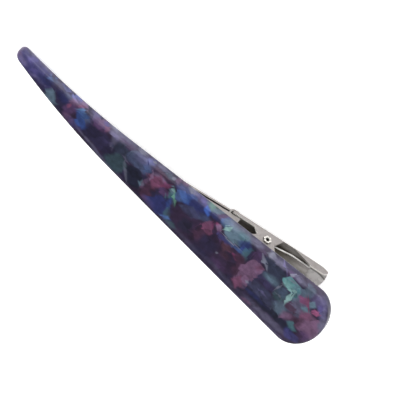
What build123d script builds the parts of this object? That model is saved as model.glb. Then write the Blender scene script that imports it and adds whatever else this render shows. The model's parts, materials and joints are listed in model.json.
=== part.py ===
from build123d import *
from math import acos, asin, atan, atan2, cos, degrees, hypot, pi, radians, sin, tan
import os

# A long hair clip: a tapered acetate plate with a sprung steel clasp under it.
#
# The clip is drawn in its own frame. The pivot's axis is the Y axis, X runs parallel to
# the straight part of the plate towards its wide end, and Z points out of the plate's
# outer face. At the end the clip is tipped and lifted, so that it stands on a surface on
# the tail of its lower arm and the tip of its plate. All sizes are millimetres.

# Plate, seen from above: tip and wide end are rounded, the sides bow out slightly
PLATE_LENGTH = 119.5
PLATE_WIDTH = 26.0
PLATE_TIP_WIDTH = 4.6
PLATE_THICKNESS = 3.2
PLATE_ROUND_END = 8.0
PLATE_SIDE_BOW = 0.4
PLATE_OUTER_ROUND = 1.0
PLATE_INNER_ROUND = 1.0

# The front of the plate curves down towards the hair
CURVE_LENGTH = 42.7
CURVE_DROP = 4.4

# Pivot, measured from the plate's wide end and from its underside
PIVOT_FROM_END = 29.3
PIVOT_DROP = 6.7

# Pressed steel sheet, its bends, and the gaps between the pieces
SHEET = 0.6
SHEET_BEND = 1.0
GLUE_GAP = 0.05
JAW_GAP = 0.15
WALL_GAP = 0.45
SIDE_GAP = 0.1
PIN_GAP = 0.05
SPRING_GAP = 0.03

# Lower arm, measured along and across its straight part from the pivot
LOWER_WIDTH = 9.0
LOWER_DROP = 4.1
TAIL_LENGTH = 20.6
TAIL_WALL = 2.8
TAIL_WALL_START = 8.8
TAIL_WALL_FULL = 15.0
TAIL_CORNER = 1.2
TAIL_CURL_RADIUS = 8.0
TAIL_CURL_LENGTH = 3.2
TAIL_END_BOW = 0.7
EAR_TOP_RADIUS = 2.7
EAR_FRONT = 4.9
EAR_REAR = 4.9
SIDE_WALL = 1.5
SIDE_WALL_LENGTH = 12.4
JOGGLE = 0.7
JOGGLE_LENGTH = 0.8

# Jaws: where the lower one bends to lie along the upper one, what share of the room
# there its bend may take up, and how both narrow
KNEE_FROM_CURVE = 5.9
KNEE_RADIUS = 50.0
KNEE_SHARE = 0.95
JAW_ROOT_WIDTH = 8.2
JAW_TIP_WIDTH = 3.0
JAW_SHORT_OF_TIP = 14.0

# Upper arm
UPPER_TAIL = 20.0
UPPER_RIM = 1.5
LUG_RADIUS = 1.9
LUG_SLOPE = 48.0
NOTCH_FRONT = 9.8

# Pivot pin, hollow, with a rolled rim at each end
PIN_DIAMETER = 2.0
PIN_BORE = 1.1
RIM_DIAMETER = 2.6
RIM_THICKNESS = 0.4

# Leaf spring, wound round the pin
SPRING_SHEET = 0.5
SPRING_WIDTH = 3.6
SPRING_COIL_RADIUS = 1.75
SPRING_SHORT_OF_TAIL = 4.8
SPRING_LOWER_REST = 6.3
SPRING_UPPER_REST = 3.3
SPRING_CURL = 0.35
SPRING_BEND = 8.0

# Levels across the clip, above the pivot's axis
UNDERSIDE = PIVOT_DROP
UPPER_TOP = UNDERSIDE - GLUE_GAP
UPPER_BOTTOM = UPPER_TOP - SHEET
JAW_MIDDLE = UPPER_BOTTOM - JAW_GAP - SHEET / 2

# Places along the clip, from the pivot
WIDE_END = PIVOT_FROM_END
TIP_END = WIDE_END - PLATE_LENGTH
CURVE_START = TIP_END + CURVE_LENGTH
JAW_END = TIP_END + JAW_SHORT_OF_TIP
KNEE = CURVE_START + KNEE_FROM_CURVE
SPRING_LEG = TAIL_LENGTH - SPRING_SHORT_OF_TAIL
SPRING_LOWER_TOUCH = SPRING_LEG - SPRING_LOWER_REST
SPRING_UPPER_TOUCH = SPRING_LEG - SPRING_UPPER_REST

# The curve of the plate's underside is an arc that starts level
CURVE_RADIUS = (CURVE_LENGTH**2 + CURVE_DROP**2) / (2 * CURVE_DROP)

# Levels across the lower arm's straight part, and its angle to the plate
FLOOR_TOP = SHEET - LOWER_DROP
FLOOR_MIDDLE = SHEET / 2 - LOWER_DROP
WALL_TOP = SIDE_WALL - LOWER_DROP
JOGGLE_MIDDLE = FLOOR_MIDDLE + JOGGLE
ARM_ANGLE = degrees(
    atan2(JAW_MIDDLE, -KNEE) + asin(-JOGGLE_MIDDLE / hypot(KNEE, JAW_MIDDLE))
)

UPPER_WIDTH = LOWER_WIDTH + 2 * (SIDE_GAP + SHEET)
PIN_HOLE = PIN_DIAMETER / 2 + PIN_GAP
FAR = 2 * PLATE_LENGTH


def in_clip(x, z):
    """A point of the clip's middle plane."""
    return Vector(x, 0, z)


def in_lever(along, up):
    """A point given along and across the lower arm's straight part."""
    turn = radians(ARM_ANGLE)
    return Vector(along * cos(turn) + up * sin(turn), 0, up * cos(turn) - along * sin(turn))


def side_solid(points, width=FAR):
    """A solid of the given width whose outline, seen from the side, has these corners."""
    face = make_face(Polyline(*points, close=True))
    return extrude(face, amount=width / 2, dir=(0, 1, 0), both=True)


def cross_cylinder(radius, width=FAR):
    """A cylinder about the pivot."""
    return Plane.XZ * Cylinder(radius, width)


def strip(path, thickness, width):
    """Sheet metal bent along a path in the middle plane."""
    start = Plane(path @ 0, x_dir=(0, 1, 0), z_dir=path % 0)
    return sweep(start * Rectangle(width, thickness), path=path)


def curve_arc(level, end_x):
    """The arc that leaves a level line where the plate's curve starts, down to end_x."""
    radius = CURVE_RADIUS + level - UNDERSIDE
    turn = asin((CURVE_START - end_x) / radius)
    centre = in_clip(CURVE_START, level - radius)
    spokes = [in_clip(-sin(share * turn), cos(share * turn)) for share in (0, 0.5, 1)]
    return ThreePointArc(*[centre + radius * spoke for spoke in spokes])


def curved_strip(start_x, level, end_x, thickness, width):
    """A strip that lies along the plate, straight at first and then in its curve."""
    line = Line(in_clip(start_x, level), in_clip(CURVE_START, level))
    return strip(line + curve_arc(level, end_x), thickness, width)


def plate_outline():
    """The plate from above: a round tip, bowed sides and an elliptical wide end."""
    tip, half = PLATE_TIP_WIDTH / 2, PLATE_WIDTH / 2
    tip_centre, end_centre = TIP_END + tip, WIDE_END - PLATE_ROUND_END
    run = end_centre - tip_centre
    slope, swing = atan2(half - tip, run), 4 * PLATE_SIDE_BOW / run
    tip_turn, end_turn = slope + swing, slope - swing
    end_angle = pi / 2 + atan(tan(end_turn) * PLATE_ROUND_END / half)
    side = Spline(
        (tip_centre - tip * sin(tip_turn), tip * cos(tip_turn)),
        (end_centre + PLATE_ROUND_END * cos(end_angle), half * sin(end_angle)),
        tangents=[(cos(tip_turn), sin(tip_turn)), (cos(end_turn), sin(end_turn))],
    )
    far_side = mirror(side, about=Plane.XZ)
    tip_arc = ThreePointArc(far_side @ 0, (TIP_END, 0), side @ 0)
    end_arc = EllipticalCenterArc(
        (end_centre, 0),
        PLATE_ROUND_END,
        half,
        start_angle=-degrees(end_angle),
        arc_size=2 * degrees(end_angle),
    )
    return make_face([side, far_side, tip_arc, end_arc])


def jaw_half_width(x):
    """Half the jaws' width at a place along the clip."""
    share = (x - JAW_END) / (-SIDE_WALL_LENGTH - JAW_END)
    return (JAW_TIP_WIDTH + share * (JAW_ROOT_WIDTH - JAW_TIP_WIDTH)) / 2


def jaw_outline(root_x, inset=0.0):
    """The tapered jaw from above, with a round tip, back to root_x."""
    tip = JAW_TIP_WIDTH / 2 - inset
    shoulder = JAW_END + JAW_TIP_WIDTH / 2
    root = jaw_half_width(root_x) - inset
    side = Line((shoulder, tip), (root_x, root))
    far_side = mirror(side, about=Plane.XZ)
    tip_arc = ThreePointArc(far_side @ 0, (shoulder - tip, 0), side @ 0)
    return make_face([side, far_side, tip_arc, Line(side @ 1, far_side @ 1)])


def rounded_channel(width, height):
    """A channel's cross-section with round bends, its floor's outer face at Y = 0."""
    outer = Pos(0, height / 2) * Rectangle(width, height)
    inner = Pos(0, height / 2 + SHEET) * Rectangle(width - 2 * SHEET, height)
    outer = fillet(outer.vertices().group_by(Axis.Y)[0], SHEET_BEND)
    inner = fillet(inner.vertices().group_by(Axis.Y)[0], SHEET_BEND - SHEET)
    return outer - inner


def looks_along(face, way):
    """Whether a face looks more up, or with way -1 more down, than to any side."""
    normal = face.normal_at()
    return way * normal.Z > max(abs(normal.X), abs(normal.Y))


def make_plate():
    """The acetate plate, curved down at its front, with polished round edges."""
    slab = curved_strip(
        WIDE_END + PLATE_TIP_WIDTH,
        UNDERSIDE + PLATE_THICKNESS / 2,
        TIP_END - PLATE_TIP_WIDTH,
        PLATE_THICKNESS,
        2 * PLATE_WIDTH,
    )
    plate = slab & extrude(plate_outline(), amount=FAR, both=True)
    for way, radius in ((1, PLATE_OUTER_ROUND), (-1, PLATE_INNER_ROUND)):
        faces = [face for face in plate.faces() if looks_along(face, way)]
        edges = [edge for face in faces for edge in face.edges()]
        rim = [edge for edge in edges if edge.geom_type != GeomType.LINE]
        plate = fillet(rim, radius)
    return plate


def make_upper_arm():
    """The arm glued under the plate: strip, rims, lugs and the flanges of the jaw."""
    slope = radians(LUG_SLOPE)
    touch = LUG_RADIUS * in_clip(sin(slope), -cos(slope))
    foot = (LUG_RADIUS + UPPER_TOP * cos(slope)) / sin(slope)
    lugs = side_solid(
        [
            in_clip(-foot, UPPER_TOP),
            in_clip(-touch.X, touch.Z),
            touch,
            in_clip(foot, UPPER_TOP),
        ]
    )
    rims = side_solid(
        [
            in_clip(-foot, UPPER_TOP),
            in_clip(-foot, UPPER_TOP - UPPER_RIM),
            in_clip(UPPER_TAIL, UPPER_TOP - UPPER_RIM),
            in_clip(UPPER_TAIL, UPPER_TOP),
        ]
    )
    end = Plane((-foot, 0, UPPER_TOP), x_dir=(0, 1, 0), z_dir=(1, 0, 0))
    section = mirror(rounded_channel(UPPER_WIDTH, UPPER_TOP + 2 * LUG_RADIUS), about=Plane.XZ)
    body = extrude(end * section, amount=foot + UPPER_TAIL)
    body &= lugs + rims + cross_cylinder(LUG_RADIUS)

    level = (UPPER_TOP + UPPER_BOTTOM) / 2
    root = jaw_half_width(-foot)
    shoulder = UPPER_WIDTH / 2 - root
    neck = make_face(
        Polyline(
            (-foot - shoulder, -root),
            (-foot, -UPPER_WIDTH / 2),
            (SHEET_BEND - foot, -UPPER_WIDTH / 2 + SHEET_BEND),
            (SHEET_BEND - foot, UPPER_WIDTH / 2 - SHEET_BEND),
            (-foot, UPPER_WIDTH / 2),
            (-foot - shoulder, root),
            close=True,
        )
    )
    plan = extrude(jaw_outline(-foot) + neck, amount=FAR, both=True)
    body += curved_strip(0, level, JAW_END - JAW_TIP_WIDTH, SHEET, UPPER_WIDTH) & plan

    jaw_line = max(WALL_TOP, FLOOR_TOP + JOGGLE) + WALL_GAP
    turn = radians(ARM_ANGLE)
    rear_z = (jaw_line + NOTCH_FRONT * sin(turn)) / cos(turn)
    front_x = -(UPPER_BOTTOM * cos(turn) - jaw_line) / sin(turn)
    wedge = side_solid(
        [
            in_clip(-NOTCH_FRONT, UPPER_TOP),
            in_clip(-NOTCH_FRONT, rear_z),
            in_clip(front_x, UPPER_BOTTOM),
            in_clip(front_x, UPPER_TOP),
        ]
    )
    walls = jaw_outline(-NOTCH_FRONT) - jaw_outline(-NOTCH_FRONT, SHEET)
    body += wedge & extrude(walls, amount=FAR, both=True)
    return body - cross_cylinder(PIN_HOLE)


def make_tail():
    """The finger tail: a shallow channel whose round end curls up towards the plate."""
    low, wall = -LOWER_DROP, TAIL_WALL - LOWER_DROP
    curl_start = TAIL_LENGTH - TAIL_CURL_LENGTH
    centre = in_clip(curl_start, low + TAIL_CURL_RADIUS)
    turn = 2 * asin(TAIL_CURL_LENGTH / TAIL_CURL_RADIUS)
    spokes = [in_clip(sin(share * turn), -cos(share * turn)) for share in (0, 0.5, 1)]
    path = Line(in_clip(TAIL_WALL_START, low), in_clip(curl_start, low))
    path += ThreePointArc(*[centre + TAIL_CURL_RADIUS * spoke for spoke in spokes])
    start = Plane(path @ 0, x_dir=(0, 1, 0), z_dir=(1, 0, 0))
    tail = sweep(start * rounded_channel(LOWER_WIDTH, TAIL_WALL + SHEET), path=path)

    under, reach = low - SHEET, TAIL_CURL_LENGTH + TAIL_END_BOW
    walls = side_solid(
        [
            in_clip(TAIL_WALL_START, under),
            in_clip(TAIL_LENGTH, under),
            in_clip(TAIL_LENGTH, wall),
            in_clip(TAIL_WALL_FULL, wall),
            in_clip(TAIL_WALL_START, FLOOR_TOP),
        ]
    )
    walls = fillet(walls.edges().filter_by(Axis.Y).group_by(Axis.Z)[-1], TAIL_CORNER)
    end_top = low + TAIL_CURL_RADIUS - (TAIL_CURL_RADIUS**2 - reach**2) ** 0.5 + 2 * SHEET
    end = side_solid(
        [
            in_clip(TAIL_WALL_FULL, under),
            in_clip(TAIL_LENGTH + 2 * TAIL_END_BOW, under),
            in_clip(TAIL_LENGTH + 2 * TAIL_END_BOW, end_top),
            in_clip(TAIL_WALL_FULL, end_top),
        ]
    )
    half = LOWER_WIDTH / 2
    sides = Polyline((TAIL_LENGTH, half), (0, half), (0, -half), (TAIL_LENGTH, -half))
    bow = ThreePointArc(sides @ 1, (TAIL_LENGTH + TAIL_END_BOW, 0), sides @ 0)
    plan = extrude(make_face([sides, bow]), amount=FAR, both=True)
    return (tail & plan) & (walls + end)


def make_lower_arm():
    """The arm that opens: finger tail, ears round the pin, and the jaw."""
    low = -LOWER_DROP
    start = Plane((-SIDE_WALL_LENGTH, 0, low), x_dir=(0, 1, 0), z_dir=(1, 0, 0))
    section = rounded_channel(LOWER_WIDTH, LOWER_DROP + 2 * EAR_TOP_RADIUS)
    body = extrude(start * section, amount=SIDE_WALL_LENGTH + TAIL_WALL_START)
    floor = side_solid(
        [
            in_clip(-SIDE_WALL_LENGTH, low),
            in_clip(TAIL_WALL_START, low),
            in_clip(TAIL_WALL_START, FLOOR_TOP),
            in_clip(-SIDE_WALL_LENGTH, FLOOR_TOP),
        ]
    )
    side_walls = side_solid(
        [
            in_clip(-SIDE_WALL_LENGTH, low),
            in_clip(0, low),
            in_clip(0, WALL_TOP),
            in_clip(-SIDE_WALL_LENGTH, WALL_TOP),
        ]
    )
    ears = side_solid(
        [
            in_clip(-EAR_FRONT, low),
            in_clip(EAR_REAR, low),
            in_clip(EAR_REAR, FLOOR_TOP),
            in_clip(EAR_TOP_RADIUS, 0),
            in_clip(-EAR_TOP_RADIUS, 0),
            in_clip(-EAR_FRONT, WALL_TOP),
        ]
    )
    body &= floor + side_walls + ears + cross_cylinder(EAR_TOP_RADIUS)
    body = Rot(0, ARM_ANGLE, 0) * (body + make_tail())

    knee_room = KNEE_FROM_CURVE / tan(radians(ARM_ANGLE / 2))
    path = FilletPolyline(
        in_lever(2 * JOGGLE_LENGTH - SIDE_WALL_LENGTH, FLOOR_MIDDLE),
        in_lever(-SIDE_WALL_LENGTH, FLOOR_MIDDLE),
        in_lever(-SIDE_WALL_LENGTH - JOGGLE_LENGTH, JOGGLE_MIDDLE),
        in_clip(KNEE, JAW_MIDDLE),
        in_clip(CURVE_START, JAW_MIDDLE),
        radius=[SHEET, SHEET, min(KNEE_RADIUS, KNEE_SHARE * knee_room)],
    )
    path += curve_arc(JAW_MIDDLE, JAW_END - JAW_TIP_WIDTH)
    plan = extrude(jaw_outline(0), amount=FAR, both=True)
    body += strip(path, SHEET, LOWER_WIDTH) & plan
    return body - cross_cylinder(PIN_HOLE)


def make_pivot_pin():
    """The hollow pin, with a rolled rim outside each lug."""
    seat = UPPER_WIDTH / 2 + PIN_GAP
    rim = Cylinder(RIM_DIAMETER / 2, RIM_THICKNESS)
    rim = fillet(rim.edges().group_by(Axis.Z)[-1], RIM_THICKNESS / 2)
    rim = Pos(0, 0, seat + RIM_THICKNESS / 2) * rim
    pin = Cylinder(PIN_DIAMETER / 2, 2 * seat) + rim + mirror(rim, about=Plane.XY)
    pin -= Cylinder(PIN_BORE / 2, FAR)
    return Plane.XZ * pin


def coil_tangent(point, side):
    """The angle about the pin at which a line from a point touches the spring's coil."""
    reach = hypot(point.X, point.Z)
    return atan2(point.Z, point.X) + side * acos(SPRING_COIL_RADIUS / reach)


def make_spring():
    """The leaf spring: a coil round the front of the pin and a leg on each arm."""
    half = SPRING_SHEET / 2 + SPRING_GAP
    lower_touch = in_lever(SPRING_LOWER_TOUCH, FLOOR_TOP + half)
    upper_touch = in_clip(SPRING_UPPER_TOUCH, UPPER_BOTTOM - half)
    low, high = coil_tangent(lower_touch, -1), coil_tangent(upper_touch, 1)
    middle = (low + high) / 2 + pi
    round_pin = [SPRING_COIL_RADIUS * in_clip(cos(a), sin(a)) for a in (low, middle, high)]
    lower_leg = FilletPolyline(
        in_lever(SPRING_LEG, FLOOR_TOP + half + SPRING_CURL),
        lower_touch,
        round_pin[0],
        radius=SPRING_BEND,
    )
    upper_leg = FilletPolyline(
        round_pin[2],
        upper_touch,
        in_clip(SPRING_LEG, UPPER_BOTTOM - half - SPRING_CURL),
        radius=SPRING_BEND,
    )
    path = lower_leg + ThreePointArc(*round_pin) + upper_leg
    return strip(path, SPRING_SHEET, SPRING_WIDTH)


def stand(pieces):
    """The pieces tipped and lifted on to a level surface, with the pivot's new place."""
    curl_start = TAIL_LENGTH - TAIL_CURL_LENGTH
    tail = in_lever(curl_start, TAIL_CURL_RADIUS - LOWER_DROP)
    tip_x = TIP_END + PLATE_INNER_ROUND
    radius = CURVE_RADIUS + PLATE_INNER_ROUND
    drop = radius - (radius**2 - (tip_x - CURVE_START) ** 2) ** 0.5
    tip = in_clip(tip_x, UNDERSIDE + PLATE_INNER_ROUND - drop)
    span, fall = tail.X - tip.X, tip.Z - tail.Z
    rounds = TAIL_CURL_RADIUS - PLATE_INNER_ROUND
    pitch = atan2(fall, span) + asin(rounds / hypot(span, fall))
    turn = Rot(0, -degrees(pitch), 0)
    box = Compound([turn * piece for piece in pieces.values()]).bounding_box()
    place = Pos(-box.center().X, 0, -box.min.Z) * turn
    print("pitch", round(degrees(pitch), 3), "pivot", place.position)
    return {name: place * piece for name, piece in pieces.items()}


if __name__ == "__main__":
    os.makedirs("parts", exist_ok=True)
    clip = {
        "plate": make_plate(),
        "upper_arm": make_upper_arm(),
        "lower_arm": make_lower_arm(),
        "pivot_pin": make_pivot_pin(),
        "spring": make_spring(),
    }
    for name, piece in stand(clip).items():
        export_step(piece, f"parts/{name}.step")
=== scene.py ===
"""The looks of a long hair clip: a marbled acetate plate over a nickel-plated spring clasp.

The clip's own frame is the one that its sizes are written in: the pivot is the origin, X runs
along the straight part of the plate towards its wide end, Y runs along the pivot pin and Z
points out of the plate's face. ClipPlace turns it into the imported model's frame. Sizes in the
clip's frame are millimetres, and everything that Blender holds is in metres.
"""

import json
import logging
import math
from dataclasses import dataclass
from enum import Enum
from typing import Iterator

import bmesh
import bpy
from mathutils import Matrix, Vector


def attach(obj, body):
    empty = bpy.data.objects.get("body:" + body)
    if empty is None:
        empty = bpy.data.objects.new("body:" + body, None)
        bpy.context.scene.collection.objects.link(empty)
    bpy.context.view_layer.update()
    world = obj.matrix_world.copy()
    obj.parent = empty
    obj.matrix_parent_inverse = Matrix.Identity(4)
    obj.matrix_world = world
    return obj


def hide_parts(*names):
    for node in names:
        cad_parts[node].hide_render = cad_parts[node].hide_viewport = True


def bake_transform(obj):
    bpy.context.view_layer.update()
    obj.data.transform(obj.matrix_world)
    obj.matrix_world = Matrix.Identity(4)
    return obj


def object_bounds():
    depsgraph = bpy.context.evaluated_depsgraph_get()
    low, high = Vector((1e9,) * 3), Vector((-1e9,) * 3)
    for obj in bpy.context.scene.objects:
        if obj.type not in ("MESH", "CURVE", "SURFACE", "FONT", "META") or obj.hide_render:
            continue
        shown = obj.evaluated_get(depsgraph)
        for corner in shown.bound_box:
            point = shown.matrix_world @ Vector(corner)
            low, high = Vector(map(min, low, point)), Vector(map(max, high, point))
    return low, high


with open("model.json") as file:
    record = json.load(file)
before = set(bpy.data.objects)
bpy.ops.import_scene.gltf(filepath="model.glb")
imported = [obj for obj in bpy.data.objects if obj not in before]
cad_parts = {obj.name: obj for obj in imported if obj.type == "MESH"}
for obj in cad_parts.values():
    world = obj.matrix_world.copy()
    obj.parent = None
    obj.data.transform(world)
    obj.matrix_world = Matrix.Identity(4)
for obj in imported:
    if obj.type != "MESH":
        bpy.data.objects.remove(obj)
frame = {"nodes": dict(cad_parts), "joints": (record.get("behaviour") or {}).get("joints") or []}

LOG = logging.getLogger("hair_clip")
MM = 0.001
UPWARD = 0.9
WELD = 1e-6
NO_AREA = 1e-13
CAD_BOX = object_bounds()

Colour = tuple[float, float, float]


def linear(code: str) -> Colour:
    """The linear colour of a six-figure screen colour.

    Args:
        code: Red, green and blue as two hexadecimal figures each.

    Returns:
        The three linear values, from 0 to 1.
    """
    shares = [int(code[i : i + 2], 16) / 255 for i in (0, 2, 4)]
    return tuple(s / 12.92 if s <= 0.04045 else ((s + 0.055) / 1.055) ** 2.4 for s in shares)


class Body(Enum):
    """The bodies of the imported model, joined by the pivot."""

    LOWER = "lower"
    UPPER = "upper"


class Slot(Enum):
    """The record's material slots."""

    ACETATE = "acetate"
    PLATED_STEEL = "plated_steel"
    PIN_STEEL = "pin_steel"
    SPRING_STEEL = "spring_steel"


@dataclass(frozen=True)
class ClipPlace:
    """Where the clip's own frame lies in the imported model's frame."""

    pivot: Vector
    pitch: float

    @classmethod
    def from_frame(cls) -> "ClipPlace":
        """Reads the pivot from the joint, and the pitch from the plate's flat outer face.

        Returns:
            The clip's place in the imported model's frame.
        """
        faces = frame["nodes"]["plate"].data.polygons
        upward = [face for face in faces if face.normal.z > UPWARD]
        flat = max(upward, key=lambda face: face.area).normal
        return cls(Vector(frame["joints"][0]["pos_m"]), math.atan2(-flat.x, flat.z))

    @property
    def turn(self) -> Matrix:
        """The rotation from the clip's frame to the model's."""
        return Matrix.Rotation(-self.pitch, 3, "Y")

    def direction(self, x: float, y: float, z: float) -> Vector:
        """A direction of the clip's frame, in the model's frame."""
        return self.turn @ Vector((x, y, z))

    def point(self, x: float, y: float, z: float) -> Vector:
        """A point of the clip's frame in millimetres, in the model's frame in metres."""
        return self.pivot + self.turn @ (Vector((x, y, z)) * MM)

    def along(self, point: Vector) -> float:
        """How far a point of the model's frame lies along the clip, in millimetres."""
        return (point - self.pivot).dot(self.direction(1, 0, 0)) / MM


class Wire:
    """A socket of a node tree. Arithmetic on it adds the tree's Math nodes."""

    def __init__(self, tree: "NodeTree", socket: bpy.types.NodeSocket) -> None:
        """Keeps the socket and the tree that it is in."""
        self.tree = tree
        self.socket = socket

    def _math(self, operation: str, *values: "Wire | float") -> "Wire":
        """One Math node over the given values."""
        return self.tree.node("ShaderNodeMath", {"operation": operation}, dict(enumerate(values)))

    def __add__(self, other: "Wire | float") -> "Wire":
        """The sum."""
        return self._math("ADD", self, other)

    __radd__ = __add__

    def __sub__(self, other: "Wire | float") -> "Wire":
        """The difference."""
        return self._math("SUBTRACT", self, other)

    def __rsub__(self, other: float) -> "Wire":
        """The difference, with the plain number first."""
        return self._math("SUBTRACT", other, self)

    def __mul__(self, other: "Wire | float") -> "Wire":
        """The product."""
        return self._math("MULTIPLY", self, other)

    __rmul__ = __mul__

    def ramp(self, low: float, high: float) -> "Wire":
        """A smooth step from 0 to 1.

        Args:
            low: The value at which the step is 0. It may be larger than high.
            high: The value at which the step is 1.

        Returns:
            The step over this socket's value.
        """
        settings = {"interpolation_type": "SMOOTHSTEP", "clamp": False}
        sockets = {"Value": self, "From Min": low, "From Max": high}
        return self.tree.node("ShaderNodeMapRange", settings, sockets)

    def axis(self, name: str) -> "Wire":
        """One coordinate of a vector."""
        return self.tree.node("ShaderNodeSeparateXYZ", None, {0: self}, name)


class NodeTree:
    """A node tree and the one way in which nodes are added to it."""

    def __init__(self, tree: bpy.types.NodeTree) -> None:
        """Keeps the tree."""
        self.tree = tree

    def node(
        self,
        kind: str,
        settings: dict[str, object] | None = None,
        sockets: dict[int | str, object] | None = None,
        output: int | str = 0,
    ) -> Wire:
        """Adds one node.

        Args:
            kind: The node's type.
            settings: Properties of the node, set before its sockets.
            sockets: Values or wires for its input sockets, by name or number. A list of wires
                goes into one socket that takes several.
            output: The output socket to return, by name or number.

        Returns:
            That output as a wire.
        """
        made = self.tree.nodes.new(kind)
        for name, value in (settings or {}).items():
            setattr(made, name, value)
        for key, value in (sockets or {}).items():
            wires = value if isinstance(value, list) else [value]
            if isinstance(wires[0], Wire):
                for wire in wires:
                    self.tree.links.new(wire.socket, made.inputs[key])
            elif made.inputs[key].type == "RGBA":
                made.inputs[key].default_value = (*value[:3], 1.0)
            else:
                made.inputs[key].default_value = value
        return Wire(self, made.outputs[output])

    def vector(self, operation: str, *values: Wire | Colour, output: int = 0) -> Wire:
        """One Vector Math node over the given values."""
        sockets = dict(enumerate(values))
        return self.node("ShaderNodeVectorMath", {"operation": operation}, sockets, output)

    def end_in(self, kind: str, socket: str, wire: Wire) -> None:
        """Ends the tree in an output node of this kind."""
        self.tree.links.new(wire.socket, self.tree.nodes.new(kind).inputs[socket])


class GeometryTree(NodeTree):
    """A new geometry node tree with named inputs for its sizes."""

    def __init__(self, name: str, inputs: dict[str, str]) -> None:
        """Makes the tree.

        Args:
            name: The tree's name.
            inputs: The type of each input's socket, by the input's name.
        """
        group = bpy.data.node_groups.new(name, "GeometryNodeTree")
        super().__init__(group)
        sockets = {"Geometry": "NodeSocketGeometry", **inputs}
        rows = {
            key: group.interface.new_socket(key, in_out="INPUT", socket_type=kind)
            for key, kind in sockets.items()
        }
        group.interface.new_socket("Geometry", in_out="OUTPUT", socket_type="NodeSocketGeometry")
        source = group.nodes.new("NodeGroupInput")
        self.inputs = {key: Wire(self, source.outputs[key]) for key in rows}
        self.identifiers = {key: row.identifier for key, row in rows.items()}

    def end(self, geometry: Wire, material: Wire) -> None:
        """Ends the tree: instances become real and take the material.

        Args:
            geometry: The finished geometry.
            material: The material that all of it takes.
        """
        real = self.node("GeometryNodeRealizeInstances", None, {"Geometry": geometry})
        dressed = {"Geometry": real, "Material": material}
        result = self.node("GeometryNodeSetMaterial", None, dressed)
        self.end_in("NodeGroupOutput", "Geometry", result)

    def apply(self, piece: bpy.types.Object, values: dict[str, object]) -> None:
        """Runs the tree on a piece and keeps the result as its plain mesh.

        Args:
            piece: The piece, whose own mesh is the tree's first input.
            values: The other inputs, by name.
        """
        modifier = piece.modifiers.new(self.tree.name, "NODES")
        modifier.node_group = self.tree
        for name, value in values.items():
            modifier[self.identifiers[name]] = value
        keep_shape(piece)


class ShaderTree(NodeTree):
    """A new material and the nodes that are added to it."""

    def __init__(self, name: str) -> None:
        """Makes an empty node material.

        Args:
            name: The material's name.
        """
        self.material = bpy.data.materials.new(name)
        self.material.use_nodes = True
        super().__init__(self.material.node_tree)
        self.tree.nodes.clear()

    def mix(self, factor: Wire | float, low: Wire | Colour, high: Wire | Colour) -> Wire:
        """A colour between two colours."""
        sockets = {0: factor, 6: low, 7: high}
        return self.node("ShaderNodeMix", {"data_type": "RGBA"}, sockets, 2)

    def clip_place(self, place: ClipPlace) -> Wire:
        """The shaded point in the clip's own frame.

        Args:
            place: Where that frame lies.

        Returns:
            The point's coordinates in millimetres.
        """
        spot = self.node("ShaderNodeTexCoord", output="Object")
        sockets = {
            "Vector": spot,
            "Location": tuple(place.pivot),
            "Rotation": (0.0, -place.pitch, 0.0),
            "Scale": (MM, MM, MM),
        }
        return self.node("ShaderNodeMapping", {"vector_type": "TEXTURE"}, sockets)

    def noise(self, spot: Wire, size: float, detail: float = 2.0, output: int = 0) -> Wire:
        """Soft noise with features of about the given size."""
        sockets = {"Vector": spot, "Scale": 1 / size, "Detail": detail}
        return self.node("ShaderNodeTexNoise", None, sockets, output)

    def cells(self, spot: Wire, size: float) -> Wire:
        """A random colour for each of many angular cells of about the given size."""
        sockets = {"Vector": spot, "Scale": 1 / size}
        return self.node("ShaderNodeTexVoronoi", None, sockets, "Color")

    def surface(self, constants: dict[str, object], varying: dict[str, Wire]) -> None:
        """Ends the tree in a Principled shader.

        Args:
            constants: Values for its sockets that are the same all over.
            varying: Wires for the sockets that change over the surface.
        """
        shader = self.node("ShaderNodeBsdfPrincipled", None, {**constants, **varying})
        self.end_in("ShaderNodeOutputMaterial", "Surface", shader)


class Tone(Enum):
    """The colours of the acetate's flakes."""

    INK = "1c1e30"
    NIGHT = "25213a"
    DUSK = "302b48"
    PLUM = "2d2137"
    WINE = "3e273b"
    BROWN = "482e39"
    AUBERGINE = "483355"
    INDIGO = "3b3967"
    NAVY = "272b57"
    ROYAL = "30467e"
    BRIGHT_BLUE = "3b5aa6"
    STEEL_BLUE = "476194"
    SKY = "5688b0"
    PERIWINKLE = "666ca3"
    VIOLET = "514a7e"
    LILAC = "645e86"
    SMOKE = "57546b"
    ASH = "767889"
    SLATE = "3e4560"
    STORM = "2e3347"
    DEEP_TEAL = "34444f"
    GREY_TEAL = "566a7a"
    TEAL = "41656e"
    SEA = "537e83"
    MINT = "8ab0ae"
    GREEN = "65917f"
    MAUVE = "674c67"
    HEATHER = "7a6482"
    ROSE = "6b3f5a"
    MAGENTA = "72395d"
    PINK = "894c70"


class Cut(Enum):
    """How a flake's edge runs."""

    SHARD = "a diamond, broken at the cells' edges"
    BLOCK = "nearly a rectangle, broken at the cells' edges"
    CLOUD = "soft and round"


SHARD_SLANT = 0.8
ENDLESS = 1e6
MIDDLE = 0.5
CENTRED = (MIDDLE, MIDDLE, MIDDLE)


@dataclass(frozen=True)
class Flake:
    """One flake of the marbling, by its place and size in millimetres on the plate's face.

    Its turn is in degrees, soft is how gradual its edge is and share how fully it covers.
    """

    tone: Tone
    x: float
    y: float
    length: float
    width: float
    turn: float
    cut: Cut
    soft: float
    share: float

    @classmethod
    def from_row(cls, row: str) -> "Flake":
        """The flake that one row of the table of flakes describes."""
        tone, *place, cut, soft, share = row.split()
        return cls(Tone[tone], *map(float, place), Cut[cut], float(soft), float(share))

    @property
    def reach(self) -> float:
        """How far from its middle the flake can show, before its edge is pushed about."""
        return max(self.length, self.width) / 2 * (1 + self.soft) / SHARD_SLANT


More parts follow.
